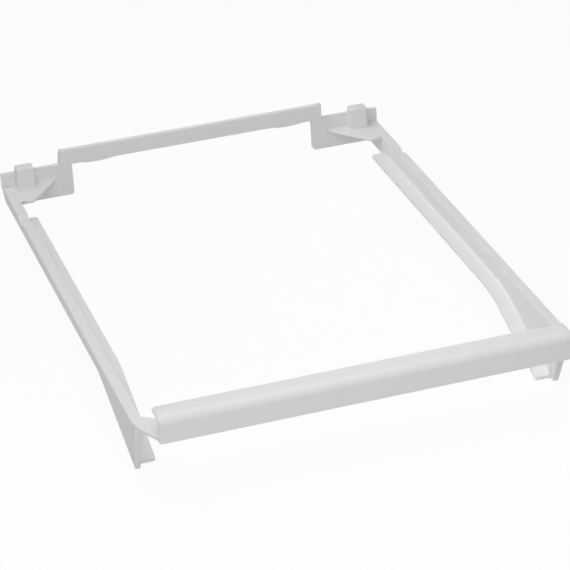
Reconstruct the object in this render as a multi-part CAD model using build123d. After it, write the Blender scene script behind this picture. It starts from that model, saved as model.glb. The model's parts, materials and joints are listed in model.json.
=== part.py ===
import os
from math import atan, tan

from build123d import *

# Sizes in millimetres. While it is drawn, Y runs back from the rear edge of the handle bar
# and Z is measured from the level of the rail tops.

# Joined pieces run into each other by the weld, and cutting shapes overshoot by the spare
weld = 1.0
spare = 5.0

# Places closer than this are the same place
same_place = 0.01

# Handle bar
bar_half_length = 151.0
bar_depth = 17.0
bar_height = 20.2
bar_wall = 2.5
bar_front_round = 6.3
bar_end_round = 2.5

# Corner plates that join the bar to the rails
corner_thickness = 2.4
corner_bend_at = 11.5
corner_bend_radius = 50.0
corner_end_inset = 2.8
corner_rear_edge_at = 21.1
corner_reach = 48.0

# Side rails: a top strip with a skirt outside, a deeper web inside and a channel between them
rail_outer = 162.2
rail_top_width = 8.2
rail_top_thickness = 2.8
rail_top_round = 1.5
skirt_drop = 11.3
skirt_wall = 2.2
skirt_rear_round = 6.0
web_wall = 2.6
channel_front_gap = 16.0
channel_rear_gap = 3.0

# Runner ledge along each web, and the ramp at its front
runner_drop = 12.7
runner_width = 10.9
runner_thickness = 3.0
runner_root_fillet = 2.0
runner_corner_round = 2.2
runner_edge_round = 1.0
runner_rear_gap = 35.5
ramp_bend_at = 120.7
ramp_bend_radius = 100.0
ramp_front_gap = 4.0
ramp_end_lift = 0.6

# Foot at the front of each rail
foot_drop = 46.8
foot_thickness = 4.8
foot_inner_inset = 1.6
foot_front = 30.5
foot_top_front = 12.7
foot_tip_length = 3.8
foot_tip_round = 2.0
leg_bend_at = 114.0
leg_bend_radius = 60.0

# Notch in the top of each rail, with a sloping rear side
notch_gap = 53.5
notch_length = 15.0
notch_slope_length = 6.5
notch_depth = 4.0

# Rear wall
rear_plane = 422.5
rear_wall = 4.0
rear_setback = 3.0
rear_bar_half_length = 112.4
rear_bar_bottom = 11.1
rear_bar_top = 24.5
rear_end_flare_low = 1.6
rear_end_flare_high = 0.4
rear_edge_round = 1.0
rear_swell_inset = 30.4
rear_swell_half_length = 15.0
rear_swell_depth = 1.3
rear_step_lean = 4.1
rear_plate_lap = 9.0
rear_plate_top = 11.2
rear_plate_inset = 0.2
rear_plate_low_inset = 4.7
rear_corner_round = 3.0

# Shelf in each rear corner
shelf_thickness = 2.5
shelf_depth = 31.5
shelf_tip_gap = 2.0
shelf_front_width = 10.5
shelf_corner_round = 3.0
shelf_edge_round = 1.1

# Peg on each shelf
peg_gap = 3.2
peg_width = 14.6
peg_depth = 10.0
peg_height = 17.5
peg_round = 1.3

bar_front = -bar_depth
bar_bottom = -corner_thickness
bar_top = bar_bottom + bar_height
corner_outer_end = bar_half_length - corner_end_inset
corner_inner_end = bar_half_length - corner_reach
rail_inner = rail_outer - rail_top_width
runner_inner = rail_inner - runner_width
runner_top = -runner_drop
runner_bottom = runner_top - runner_thickness
runner_rear = rear_plane - runner_rear_gap
ramp_front = foot_front + ramp_front_gap
ramp_rise = (foot_drop - ramp_end_lift + runner_bottom) / (ramp_bend_at - ramp_front)
ramp_top_bend_at = ramp_bend_at - runner_thickness * tan(atan(ramp_rise) / 2)
notch_rear = rear_plane - notch_gap
notch_front = notch_rear - notch_length
rear_back = rear_plane + rear_setback + rear_wall
rear_step_low = rear_bar_half_length + rear_step_lean
rear_plate_inner = rear_bar_half_length - rear_plate_lap
rear_plate_bottom = runner_bottom
rear_plate_outer = rail_outer - rear_plate_inset
rear_plate_low_outer = rail_outer - rear_plate_low_inset
rear_swell_at = rear_bar_half_length - rear_swell_inset
shelf_tip = rear_step_low + shelf_tip_gap
shelf_front = rear_plane - shelf_depth
shelf_front_inner = rail_inner - shelf_front_width
peg_outer = rail_inner - peg_gap
peg_inner = peg_outer - peg_width

# The rail runs from inside the bar's front wall to inside the rear wall, and leans in past its bend
wall_front = bar_front + bar_wall / 2
wall_rear = rear_plane + rear_wall / 2
corner_lean = (rail_outer - corner_outer_end) / (corner_bend_at - bar_front)
outer_draft = (rail_top_width - foot_thickness) / foot_drop


def slab(points, low, high):
    # A flat plate drawn in plan, between two levels.
    return Pos(0, 0, low) * extrude(make_face(Polyline(*points, close=True)), high - low)


def side_solid(face, near, far):
    # A shape drawn in side view (Y across, Z up), given thickness along X.
    return extrude(Plane.YZ.offset(near) * face, far - near)


def front_solid(face, near, far):
    # A shape drawn in front view (X across, Z up), given thickness along Y.
    return extrude(Plane.XZ.offset(-near) * face, near - far)


def handle_bar():
    # A rounded front with open back, underside and ends.
    corner = [(0, bar_bottom), (0, bar_top), (bar_front, bar_top), (bar_front, bar_bottom)]
    outer = make_face(Polyline(*corner, close=True))
    top_front = outer.vertices().sort_by(lambda v: v.X - v.Y)[0]
    outer = fillet(top_front, bar_front_round)
    block = side_solid(outer, -bar_half_length, bar_half_length)
    ends = block.edges().filter_by(lambda e: abs(abs(e.center().X) - bar_half_length) < same_place)
    ends = ends.filter_by(lambda e: e.center().Z > bar_bottom + same_place)
    ends = ends.filter_by(lambda e: e.center().Y < -same_place)
    block = fillet(ends, bar_end_round)
    hollow = make_face(Polyline(
        (spare, bar_bottom - spare), (spare, bar_top - bar_wall), (bar_front + bar_wall, bar_top - bar_wall),
        (bar_front + bar_wall, bar_bottom - spare), close=True))
    top_front = hollow.vertices().sort_by(lambda v: v.X - v.Y)[0]
    hollow = fillet(top_front, bar_front_round - bar_wall)
    return block - side_solid(hollow, -bar_half_length - spare, bar_half_length + spare)


def outer_plan(outer):
    # Everything inside a rail's outer face, seen from above: straight, then drawn in towards the bar.
    front = outer - corner_lean * (corner_bend_at - wall_front)
    plan = make_face(Polyline(
        (0, wall_rear), (outer, wall_rear), (outer, corner_bend_at),
        (front, wall_front), (0, wall_front), close=True))
    bend = plan.vertices().filter_by(lambda v: abs(v.Y - corner_bend_at) < same_place)
    return fillet(bend, corner_bend_radius)


def inner_side():
    # The space between the rails seen from the front, a little wider between the feet.
    return make_face(Polyline(
        (-spare, spare), (rail_inner, spare), (rail_inner, 0), (rail_inner + foot_inner_inset, -foot_drop),
        (-spare, -foot_drop), close=True))


def leg_side():
    # Skirt, foot and corner plate seen from the side.
    front = wall_front - spare
    lean = (foot_front - foot_top_front) / foot_drop
    foot_rear = foot_front + foot_tip_length
    outline = make_face(Polyline(
        (wall_rear, spare), (front, spare), (front, -corner_thickness),
        (foot_top_front + lean * corner_thickness, -corner_thickness), (foot_front, -foot_drop),
        (foot_rear, -foot_drop), (leg_bend_at, -skirt_drop), (wall_rear, -skirt_drop), close=True))
    rear = outline.vertices().filter_by(lambda v: v.X > wall_rear - same_place and v.Y < 0)
    outline = fillet(rear, skirt_rear_round)
    bend = outline.vertices().filter_by(lambda v: abs(v.X - leg_bend_at) < same_place)
    outline = fillet(bend, leg_bend_radius)
    tip = outline.vertices().filter_by(lambda v: abs(v.Y + foot_drop) < same_place)
    return fillet(tip, foot_tip_round)


def rail():
    # Top strip, skirt, foot and corner plate, narrowing downwards, with a channel beside the web.
    low = Pos(0, 0, -foot_drop) * outer_plan(rail_inner + foot_thickness)
    block = loft([low, outer_plan(rail_outer)], ruled=True)
    edge = block.faces().sort_by(Axis.Z)[-1].edges()
    edge = edge.filter_by(lambda e: e.center().X > weld).filter_by(Axis.X, reverse=True)
    block = fillet(edge, rail_top_round)
    plate = block & corner_plate()
    block = block - front_solid(inner_side(), wall_front - spare, wall_rear + spare) + plate
    block = block & side_solid(leg_side(), 0, rail_outer + spare)
    inner = rail_inner + web_wall
    outer = rail_outer - outer_draft * skirt_drop - skirt_wall
    front = leg_bend_at + channel_front_gap
    rear = notch_front - channel_rear_gap
    corners = [(inner, front), (outer, front), (outer, rear), (inner, rear)]
    return block - slab(corners, -foot_drop, -rail_top_thickness) + web()


def web():
    # Inner wall of the rail, which carries the runner and follows it down the ramp.
    top = -rail_top_thickness / 2
    outline = make_face(Polyline(
        (wall_rear, top), (ramp_front, top), (ramp_front, ramp_end_lift - foot_drop),
        (ramp_bend_at, runner_bottom), (wall_rear, runner_bottom), close=True))
    bend = outline.vertices().filter_by(lambda v: abs(v.X - ramp_bend_at) < same_place)
    return side_solid(fillet(bend, ramp_bend_radius), rail_inner, rail_inner + web_wall)


def runner():
    # Ledge that the drawer slides on, bending down into the ramp.
    strip = make_face(Polyline(
        (runner_rear, runner_bottom), (runner_rear, runner_top), (ramp_top_bend_at, runner_top),
        (ramp_front, runner_top - (ramp_top_bend_at - ramp_front) * ramp_rise),
        (ramp_front, ramp_end_lift - foot_drop), (ramp_bend_at, runner_bottom), close=True))
    low = strip.vertices().filter_by(lambda v: abs(v.X - ramp_bend_at) < same_place)
    strip = fillet(low, ramp_bend_radius)
    high = strip.vertices().filter_by(lambda v: abs(v.X - ramp_top_bend_at) < same_place)
    strip = fillet(high, ramp_bend_radius + runner_thickness)
    ledge = side_solid(strip, runner_inner, rail_inner + weld)
    corners = ledge.edges().filter_by(lambda e: abs(e.center().X - runner_inner) < same_place)
    ledge = fillet(corners.filter_by(Axis.Z), runner_corner_round)
    inner = ledge.edges().filter_by(lambda e: e.center().X < runner_inner + runner_corner_round / 2)
    return fillet(inner.filter_by(Axis.Z, reverse=True), runner_edge_round)


def runner_root():
    # Hollow fillet where the runner meets the web, following the ledge down the ramp.
    front = ramp_front + weld
    rear = runner_rear - weld
    path = Plane.YZ.offset(rail_inner) * FilletPolyline(
        (rear, runner_top), (ramp_top_bend_at, runner_top),
        (front, runner_top - (ramp_top_bend_at - front) * ramp_rise),
        radius=ramp_bend_radius + runner_thickness)
    r = runner_root_fillet
    section = make_face([
        RadiusArc((-r, 0), (0, r), -r), Polyline((0, r), (weld, r), (weld, -weld), (-r, -weld), (-r, 0))])
    start = Plane(origin=(rail_inner, rear, runner_top), x_dir=(1, 0, 0), z_dir=(0, -1, 0))
    return sweep(start * section, path)


def corner_plate():
    # Flat plate that carries the bar's end on the rail, as wide as the rail's outer face allows.
    outer = rail_outer + bar_half_length
    points = [
        (corner_inner_end, wall_front), (outer, wall_front), (outer, corner_rear_edge_at),
        (rail_inner, corner_rear_edge_at)]
    return slab(points, -corner_thickness, spare)


def rear_corner():
    # Plate behind each rail: flush with the rear bar below, set back above the shelf.
    lap_top = rear_bar_bottom + spare
    skin = make_face(Polyline(
        (rear_plate_inner, rear_plate_bottom), (rear_plate_low_outer, rear_plate_bottom),
        (rear_plate_low_outer, -weld), (rear_step_low, -weld), (rear_bar_half_length, rear_plate_top),
        (rear_bar_half_length, lap_top), (rear_plate_inner, lap_top), close=True))
    low = skin.vertices().sort_by(lambda v: v.X + v.Y)[0]
    plate = front_solid(fillet(low, rear_corner_round), rear_plane, rear_plane + rear_wall)
    turn_inner = rear_bar_half_length - rear_wall
    back = make_face(Polyline(
        (turn_inner, -shelf_thickness), (rear_plate_outer, -shelf_thickness),
        (rear_plate_outer, rear_plate_top), (turn_inner, rear_plate_top), close=True))
    back = front_solid(back, rear_back - rear_wall, rear_back)
    top = back.edges().filter_by(Axis.X).filter_by(lambda e: e.center().Z > 0)
    outer = back.edges().filter_by(Axis.Y).filter_by(lambda e: e.center().X > shelf_tip and e.center().Z > 0)
    plate += fillet(top + outer, rear_edge_round)
    step = make_face(Polyline(
        (turn_inner, rear_bar_bottom), (rear_step_low - rear_wall, -shelf_thickness),
        (rear_step_low, -shelf_thickness), (rear_step_low, -weld), (rear_bar_half_length, rear_plate_top),
        (rear_bar_half_length, lap_top), (turn_inner, lap_top), close=True))
    return plate + front_solid(step, rear_plane, rear_back)


def rear_bar():
    # Raised middle of the rear wall with its ends turned back to the corner plates.
    near = rear_swell_at - rear_swell_half_length
    far = rear_swell_at + rear_swell_half_length
    lowest = rear_bar_bottom - rear_swell_depth
    bar = make_face([
        ThreePointArc((-far, rear_bar_bottom), (-rear_swell_at, lowest), (-near, rear_bar_bottom)),
        Line((-near, rear_bar_bottom), (near, rear_bar_bottom)),
        ThreePointArc((near, rear_bar_bottom), (rear_swell_at, lowest), (far, rear_bar_bottom)),
        Polyline(
            (far, rear_bar_bottom), (rear_bar_half_length, rear_bar_bottom),
            (rear_bar_half_length, rear_bar_top), (-rear_bar_half_length, rear_bar_top),
            (-rear_bar_half_length, rear_bar_bottom), (-far, rear_bar_bottom))])
    wall = front_solid(bar, rear_plane, rear_plane + rear_wall)
    inner = rear_bar_half_length - rear_wall
    low = make_face(Polyline(
        (inner, rear_plane), (rear_bar_half_length, rear_plane),
        (rear_bar_half_length + rear_end_flare_low, rear_back), (inner, rear_back), close=True))
    high = make_face(Polyline(
        (inner, rear_plane), (rear_bar_half_length, rear_plane),
        (rear_bar_half_length + rear_end_flare_high, rear_plane + rear_wall),
        (inner, rear_plane + rear_wall), close=True))
    turned = loft([Pos(0, 0, rear_bar_bottom) * low, Pos(0, 0, rear_bar_top) * high], ruled=True)
    wall = wall + turned + mirror(turned, Plane.YZ)
    top = wall.edges().filter_by(lambda e: e.center().Z > rear_bar_top - same_place)
    top = top.filter_by(lambda e: e.length > rear_bar_half_length)
    return fillet(top, rear_edge_round)


def shelf():
    # Corner shelf with a slanting front that ends on the rear plate.
    rear = rear_back - weld
    plan = make_face(Polyline(
        (shelf_tip, rear), (shelf_tip, rear_plane), (shelf_front_inner, shelf_front),
        (rail_inner + weld, shelf_front), (rail_inner + weld, rear), close=True))
    corner = plan.vertices().sort_by(lambda v: v.Y)[0:2].sort_by(Axis.X)[0]
    plan = fillet(corner, shelf_corner_round)
    plate = Pos(0, 0, -shelf_thickness) * extrude(plan, shelf_thickness)
    lip = plate.edges().filter_by(Axis.Z, reverse=True)
    lip = lip.filter_by(lambda e: e.center().Y < rear_plane - weld and e.center().X < rail_inner)
    return fillet(lip, shelf_edge_round)


def peg():
    # Upright stop on the shelf, against the rear plate.
    rear = rear_back - rear_wall + weld
    front = rear - weld - peg_depth
    block = Pos((peg_inner + peg_outer) / 2, (front + rear) / 2, (peg_height - weld) / 2) * Box(
        peg_width, rear - front, peg_height + weld)
    block = fillet(block.edges().filter_by(Axis.Z), peg_round)
    return fillet(block.faces().sort_by(Axis.Z)[-1].edges(), peg_round)


def notch():
    # Cut across the rail's top: upright in front, sloping up at the rear.
    floor_rear = notch_rear - notch_slope_length
    over = notch_rear + notch_slope_length * spare / notch_depth
    outline = make_face(Polyline(
        (notch_front, spare), (notch_front, -notch_depth), (floor_rear, -notch_depth),
        (over, spare), close=True))
    return side_solid(outline, rail_inner - spare, rail_outer + spare)


half = rail() + runner() + runner_root() + rear_corner() + shelf() + peg() - notch()
frame = half + mirror(half, Plane.YZ) + handle_bar() + rear_bar()
frame = Pos(0, -(bar_front + rear_back) / 2, foot_drop) * frame
os.makedirs("parts", exist_ok=True)
export_step(frame, "parts/drawer_frame.step")
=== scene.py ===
import json
import math

import bmesh
import bpy
from mathutils import Matrix

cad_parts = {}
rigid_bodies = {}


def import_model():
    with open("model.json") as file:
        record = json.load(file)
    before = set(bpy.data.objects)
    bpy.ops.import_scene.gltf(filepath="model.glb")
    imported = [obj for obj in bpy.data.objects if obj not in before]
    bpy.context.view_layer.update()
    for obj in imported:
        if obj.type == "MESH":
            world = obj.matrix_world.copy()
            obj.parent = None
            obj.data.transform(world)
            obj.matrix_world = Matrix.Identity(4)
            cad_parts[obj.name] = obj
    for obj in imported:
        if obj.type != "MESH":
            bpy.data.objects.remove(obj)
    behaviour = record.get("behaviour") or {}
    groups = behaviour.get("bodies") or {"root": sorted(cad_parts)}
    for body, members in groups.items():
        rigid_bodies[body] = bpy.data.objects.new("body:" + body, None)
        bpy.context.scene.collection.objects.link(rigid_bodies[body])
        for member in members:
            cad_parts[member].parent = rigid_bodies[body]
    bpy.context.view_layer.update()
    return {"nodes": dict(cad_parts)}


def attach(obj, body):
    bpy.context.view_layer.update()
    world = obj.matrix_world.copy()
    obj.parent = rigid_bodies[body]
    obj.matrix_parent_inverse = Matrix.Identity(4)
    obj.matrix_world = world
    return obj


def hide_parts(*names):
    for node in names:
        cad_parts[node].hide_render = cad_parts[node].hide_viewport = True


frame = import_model()
scene = bpy.context.scene
scene.view_settings.view_transform = "Standard"
print("frame loaded:", ", ".join(frame["nodes"]))


# A shader value that can be added, subtracted and multiplied like a number
class Wire:
    def __init__(self, tree, socket):
        self.tree = tree
        self.socket = socket

    def work(self, operation, first, second):
        node = self.tree.nodes.new("ShaderNodeMath")
        node.operation = operation
        for slot, value in zip(node.inputs, (first, second)):
            plug(self.tree, slot, value)
        return Wire(self.tree, node.outputs[0])

    def __add__(self, other):
        return self.work("ADD", self, other)

    def __radd__(self, other):
        return self.work("ADD", other, self)

    def __sub__(self, other):
        return self.work("SUBTRACT", self, other)

    def __rsub__(self, other):
        return self.work("SUBTRACT", other, self)

    def __mul__(self, other):
        return self.work("MULTIPLY", self, other)

    def __rmul__(self, other):
        return self.work("MULTIPLY", other, self)


def plug(tree, slot, value):
    if isinstance(value, Wire):
        tree.links.new(value.socket, slot)
    else:
        slot.default_value = value


# A node tree, whose nodes other than maths are all made by one method
class Graph:
    def __init__(self, tree):
        self.tree = tree
        tree.nodes.clear()

    # Any node: its type, its settings, then what goes into its sockets
    def node(self, kind, settings=None, inputs=None, output=0):
        made = self.tree.nodes.new(kind)
        for key, value in (settings or {}).items():
            setattr(made, key, value)
        for key, value in (inputs or {}).items():
            plug(self.tree, made.inputs[key], value)
        return Wire(self.tree, made.outputs[output]) if len(made.outputs) else None

    def noise(self, place, inputs):
        return self.node("ShaderNodeTexNoise", None, {"Vector": place, **inputs})

    # One for rays that come from the camera, a reflection or a clear surface, otherwise nothing
    def seenDirectly(self):
        kinds = ("Is Camera Ray", "Is Glossy Ray", "Is Transmission Ray")
        camera, glossy, clear = [self.node("ShaderNodeLightPath", output=kind) for kind in kinds]
        return camera + glossy + clear


def newMaterial(name):
    material = bpy.data.materials.new(name)
    material.use_nodes = True
    return material, Graph(material.node_tree)


# White plastic as it comes from the mould; depths are in metres
whitePlastic = {
    "slot": "white_plastic",
    "colour": (0.826, 0.815, 0.829, 1),
    "palerColour": (0.851, 0.84, 0.853, 1),
    "clouds": {"Scale": 28, "Detail": 3.0},
    "cloudShare": 0.6,  # how much of the paler colour follows the clouds
    "flow": {"Scale": 9, "Distortion": 1.2},
    "flowShare": 0.4,
    "roughness": 0.56,
    "cloudSpread": 0.1,  # how far the clouds and the rubbed streaks vary the roughness
    "rubSpread": 0.12,
    "rubStretch": (900, 14, 900),  # streaks run along the rails
    "rubs": {"Scale": 1.0, "Detail": 2.0},
    "noiseMiddle": 0.5,
    "grain": {"Scale": 2600, "Detail": 2.0},
    "grainDepth": 0.000012,
    "wave": {"Scale": 38, "Detail": 1.0},
    "waveDepth": 0.00006,
    "bump": {"Distance": 1.0, "Strength": 1.0},
    "ior": 1.49,
}


def makeWhitePlastic(spec):
    material, made = newMaterial("whitePlastic")
    place = made.node("ShaderNodeTexCoord", output="Object")
    clouds = made.noise(place, spec["clouds"])
    flow = made.noise(place, spec["flow"])
    paler = clouds * spec["cloudShare"] + flow * spec["flowShare"]
    colour = made.node("ShaderNodeMix", {"data_type": "RGBA"}, {
        "Factor": paler, 6: spec["colour"], 7: spec["palerColour"]}, output=2)
    along = made.node("ShaderNodeMapping", None, {"Vector": place, "Scale": spec["rubStretch"]})
    rubs = made.noise(along, spec["rubs"])
    cloudPart = (clouds - spec["noiseMiddle"]) * spec["cloudSpread"]
    rubPart = (rubs - spec["noiseMiddle"]) * spec["rubSpread"]
    roughness = spec["roughness"] + cloudPart + rubPart
    grain = made.noise(place, spec["grain"])
    wave = made.noise(place, spec["wave"])
    relief = grain * spec["grainDepth"] + wave * spec["waveDepth"]
    bump = made.node("ShaderNodeBump", None, {"Height": relief, **spec["bump"]})
    shader = made.node("ShaderNodeBsdfPrincipled", None, {
        "Base Color": colour, "Roughness": roughness, "Normal": bump, "IOR": spec["ior"]})
    made.node("ShaderNodeOutputMaterial", None, {"Surface": shader})
    return material


# The whole frame is one moulding: a welded copy of the CAD node, with soft edges where there is room
moulding = {
    "node": "drawer_frame",
    "name": "drawer_frame_moulding",
    "weldGap": 0.000004,
    "flatAngle": math.radians(0.3),
    "edgeRound": 0.00035,
    "edgeSteps": 2,
    "shortestEdge": 0.0015,
    "edgeRoom": 0.0011,
    "narrowCorner": math.radians(25),
    "sharpFrom": math.radians(28),
    "smoothUpTo": math.radians(35),
}


# Whether an edge is long and has room beside both its ends, so that a soft edge doesn't overrun there
def roomyEdge(edge, spec):
    if edge.calc_length() < spec["shortestEdge"]:
        return False
    for corner in edge.verts:
        along = edge.other_vert(corner).co - corner.co
        for other in corner.link_edges:
            if other is edge:
                continue
            away = other.other_vert(corner).co - corner.co
            if away.length < spec["edgeRoom"] or along.angle(away) < spec["narrowCorner"]:
                return False
    return True


def softenEdges(piece, spec):
    bpy.ops.object.mode_set(mode="EDIT")
    bpy.ops.mesh.select_all(action="DESELECT")
    bpy.ops.mesh.select_mode(type="EDGE")
    bpy.ops.mesh.edges_select_sharp(sharpness=spec["sharpFrom"])
    mesh = bmesh.from_edit_mesh(piece.data)
    for edge in mesh.edges:
        if edge.select and not roomyEdge(edge, spec):
            edge.select = False
    mesh.select_flush(False)
    print("soft edges:", len([edge for edge in mesh.edges if edge.select]))
    bmesh.update_edit_mesh(piece.data)
    bpy.ops.mesh.bevel(
        offset=spec["edgeRound"], segments=spec["edgeSteps"], affect="EDGES", clamp_overlap=False)
    bpy.ops.object.mode_set(mode="OBJECT")


def makeMoulding(spec, material):
    bpy.ops.object.select_all(action="DESELECT")
    source = frame["nodes"][spec["node"]]
    source.select_set(True)
    bpy.context.view_layer.objects.active = source
    bpy.ops.object.duplicate()
    piece = bpy.context.view_layer.objects.active
    piece.name = spec["name"]
    bpy.ops.object.parent_clear(type="CLEAR_KEEP_TRANSFORM")
    bpy.ops.object.mode_set(mode="EDIT")
    bpy.ops.mesh.select_all(action="SELECT")
    bpy.ops.mesh.remove_doubles(threshold=spec["weldGap"])
    bpy.ops.mesh.dissolve_limited(angle_limit=spec["flatAngle"])
    bpy.ops.object.mode_set(mode="OBJECT")
    bpy.ops.object.shade_smooth_by_angle(angle=spec["smoothUpTo"])
    softenEdges(piece, spec)
    bpy.ops.object.shade_smooth_by_angle(angle=spec["smoothUpTo"])  # again, for the new faces
    flatten = piece.modifiers.new("flatFaces", "WEIGHTED_NORMAL")  # large faces keep their flat shading
    flatten.keep_sharp = True
    bpy.ops.object.modifier_apply(modifier=flatten.name)
    piece.data.materials.clear()
    piece.data.materials.append(material)
    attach(piece, "root")
    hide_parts(spec["node"])
    return piece


# Pale floor that shows white with the part's shadow on it, and a dim room
studio = {
    "white": (1, 1, 1, 1),
    "whiteLevel": 1.0,
    "floorSize": 6.0,
    "floorColour": (0.97, 0.97, 0.97, 1),  # the shaded part of the floor that is seen
    "floorGlow": 0.92,  # how much of the floor that is seen is plain white
    "floorBounce": (0.75, 0.75, 0.75, 1),  # the floor as it lights the part
    "roomLevel": 0.37,
    "roomColour": (1, 1, 1, 1),
}


def makeFloor(spec):
    bpy.ops.object.select_all(action="DESELECT")
    bpy.ops.mesh.primitive_plane_add(size=spec["floorSize"], location=(0, 0, 0))
    floor = bpy.context.view_layer.objects.active
    floor.name = "floor"
    material, paper = newMaterial("floorPaper")
    white = paper.node("ShaderNodeEmission", None, {"Color": spec["white"], "Strength": spec["whiteLevel"]})
    shaded = paper.node("ShaderNodeBsdfDiffuse", None, {"Color": spec["floorColour"]})
    sheet = paper.node("ShaderNodeMixShader", None, {0: spec["floorGlow"], 1: shaded, 2: white})
    dull = paper.node("ShaderNodeBsdfDiffuse", None, {"Color": spec["floorBounce"]})
    shown = paper.node("ShaderNodeMixShader", None, {0: paper.seenDirectly(), 1: dull, 2: sheet})
    paper.node("ShaderNodeOutputMaterial", None, {"Surface": shown})
    floor.data.materials.append(material)


def makeWorld(spec):
    scene.world = bpy.data.worlds.new("studioWorld")
    scene.world.use_nodes = True
    sky = Graph(scene.world.node_tree)
    room = sky.node("ShaderNodeBackground", None, {
        "Color": spec["roomColour"], "Strength": spec["roomLevel"]})
    white = sky.node("ShaderNodeBackground", None, {"Color": spec["white"], "Strength": spec["whiteLevel"]})
    shown = sky.node("ShaderNodeMixShader", None, {0: sky.seenDirectly(), 1: room, 2: white})
    sky.node("ShaderNodeOutputWorld", None, {"Surface": shown})


# Soft lamps: a small one near the front left corner, a wide warm one overhead, a low cool one in front,
# and a narrow gridded strip that reaches the right rail's inner wall
lamps = [
    {"name": "cornerSoftbox", "width": 0.5, "length": 0.5, "spread": 180, "power": 2.35,
     "at": (-0.28, -0.42, 0.85), "tilt": (-18, 0, 0), "colour": (1, 1, 1)},
    {"name": "overheadSoftbox", "width": 1.0, "length": 1.2, "spread": 180, "power": 4.45,
     "at": (-0.4, 0.35, 1.3), "tilt": (0, 0, 0), "colour": (1, 0.985, 0.955)},
    {"name": "frontFill", "width": 1.0, "length": 0.5, "spread": 180, "power": 2.95,
     "at": (-0.15, -1.4, 0.3), "tilt": (84, 0, -4), "colour": (0.955, 0.955, 1)},
    {"name": "gridStrip", "width": 0.1, "length": 0.8, "spread": 34, "power": 0.1,
     "at": (-0.5, 0.05, 0.62), "tilt": (0, -49, 0), "colour": (1, 0.99, 1)},
]


def makeLamps():
    for spec in lamps:
        turn = [math.radians(angle) for angle in spec["tilt"]]
        bpy.ops.object.light_add(type="AREA", location=spec["at"], rotation=turn)
        lamp = bpy.context.view_layer.objects.active
        lamp.name = spec["name"]
        lamp.data.shape = "RECTANGLE"
        lamp.data.size = spec["width"]
        lamp.data.size_y = spec["length"]
        lamp.data.spread = math.radians(spec["spread"])
        lamp.data.energy = spec["power"]
        lamp.data.color = spec["colour"]


# The photograph's viewpoint: angles in degrees, the focal length in pixels of the image
viewpoint = {
    "at": (-0.49422, -1.71881, 0.95095),
    "turn": 16.303,
    "lookDown": 27.316,
    "roll": -3.426,
    "focal": 2638.0,
    "imageWidth": 570,
    "sensor": 36.0,
    "farthest": 50,
}


def makeCamera(spec):
    bpy.ops.object.camera_add()
    camera = bpy.context.view_layer.objects.active
    camera.name = "photoCamera"
    turn = Matrix.Rotation(-math.radians(spec["turn"]), 4, "Z")
    tip = Matrix.Rotation(math.radians(90 - spec["lookDown"]), 4, "X")
    roll = Matrix.Rotation(math.radians(spec["roll"]), 4, "Z")
    camera.matrix_world = Matrix.Translation(spec["at"]) @ turn @ tip @ roll
    camera.data.sensor_width = spec["sensor"]
    camera.data.lens = spec["sensor"] * spec["focal"] / spec["imageWidth"]
    camera.data.clip_end = spec["farthest"]
    scene.camera = camera


plastic = makeWhitePlastic(whitePlastic)
piece = makeMoulding(moulding, plastic)
print("moulding:", len(piece.data.polygons), "faces")
makeFloor(studio)
makeWorld(studio)
makeLamps()
makeCamera(viewpoint)
print("studio set up")
